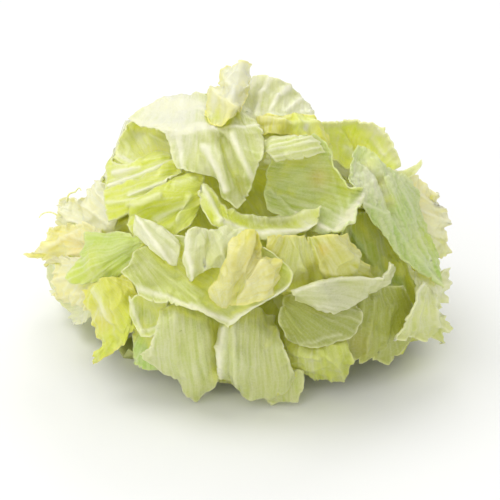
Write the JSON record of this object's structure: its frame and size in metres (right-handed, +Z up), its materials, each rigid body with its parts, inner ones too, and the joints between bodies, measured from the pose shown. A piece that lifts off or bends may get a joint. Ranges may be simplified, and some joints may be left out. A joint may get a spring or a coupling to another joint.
{
  "type": "heap of torn iceberg lettuce leaves",
  "caption": "Loose heap of torn iceberg lettuce leaves, pale green to yellow, that rests on its flat lowest leaf, for a plate, a board or a salad.",
  "frame": {"origin": "on the surface that the heap rests on, under the middle of the heap's box", "axes": "+X to the heap's right as the picture shows it, +Y away from the onlooker, +Z up"},
  "size_m": [0.2032, 0.1806, 0.1415],
  "materials": {
    "pale_leaf": "satin",
    "lime_leaf": "satin",
    "green_leaf": "satin",
    "yellow_leaf": "satin",
    "cream_leaf": "satin"
  },
  "bodies": {
    "root": {"back_leaf_1": "lime_leaf", "back_leaf_10": "pale_leaf", "back_leaf_11": "cream_leaf", "back_leaf_12": "lime_leaf", "back_leaf_13": "pale_leaf", "back_leaf_14": "yellow_leaf", "back_leaf_15": "pale_leaf", "back_leaf_16": "green_leaf", "back_leaf_2": "pale_leaf", "back_leaf_3": "yellow_leaf", "back_leaf_4": "pale_leaf", "back_leaf_5": "green_leaf", "back_leaf_6": "pale_leaf", "back_leaf_7": "green_leaf", "back_leaf_8": "pale_leaf", "back_leaf_9": "lime_leaf", "blush_crest_leaf": "cream_leaf", "bowl_right_leaf": "green_leaf", "core_leaf": "yellow_leaf", "cream_fan_leaf": "cream_leaf", "cream_low_leaf": "cream_leaf", "crescent_leaf": "pale_leaf", "crest_shell_leaf": "pale_leaf", "crest_tip_leaf": "yellow_leaf", "crinkled_yellow_leaf": "yellow_leaf", "deep_green_leaf": "green_leaf", "floor_leaf": "pale_leaf", "folded_flap_leaf": "pale_leaf", "front_bowl_leaf": "pale_leaf", "front_centre_slab_leaf": "pale_leaf", "front_chip_leaf": "pale_leaf", "front_left_slab_leaf": "pale_leaf", "green_drape_leaf": "green_leaf", "green_fan_leaf": "green_leaf", "horn_leaf": "pale_leaf", "inner_leaf_1": "lime_leaf", "inner_leaf_2": "lime_leaf", "inner_leaf_3": "lime_leaf", "inner_leaf_4": "lime_leaf", "left_band_high_leaf": "pale_leaf", "left_band_low_leaf": "pale_leaf", "left_cup_leaf": "lime_leaf", "left_hanging_leaf": "yellow_leaf", "left_lime_fold_leaf": "lime_leaf", "lime_hollow_leaf": "lime_leaf", "low_right_leaf": "lime_leaf", "low_ruffle_leaf": "lime_leaf", "pale_drape_leaf": "pale_leaf", "ribbed_band_leaf": "pale_leaf", "right_back_leaf": "pale_leaf", "right_ruffle_leaf": "cream_leaf", "right_star_leaf": "pale_leaf", "small_cup_leaf": "pale_leaf", "under_green_leaf": "green_leaf", "upper_right_cup_leaf": "lime_leaf", "wedge_leaf": "pale_leaf", "white_boat_leaf": "pale_leaf", "white_fold_leaf": "pale_leaf", "yellow_heart_leaf": "yellow_leaf", "yellow_rim_leaf": "yellow_leaf"}
  },
  "joints": []
}
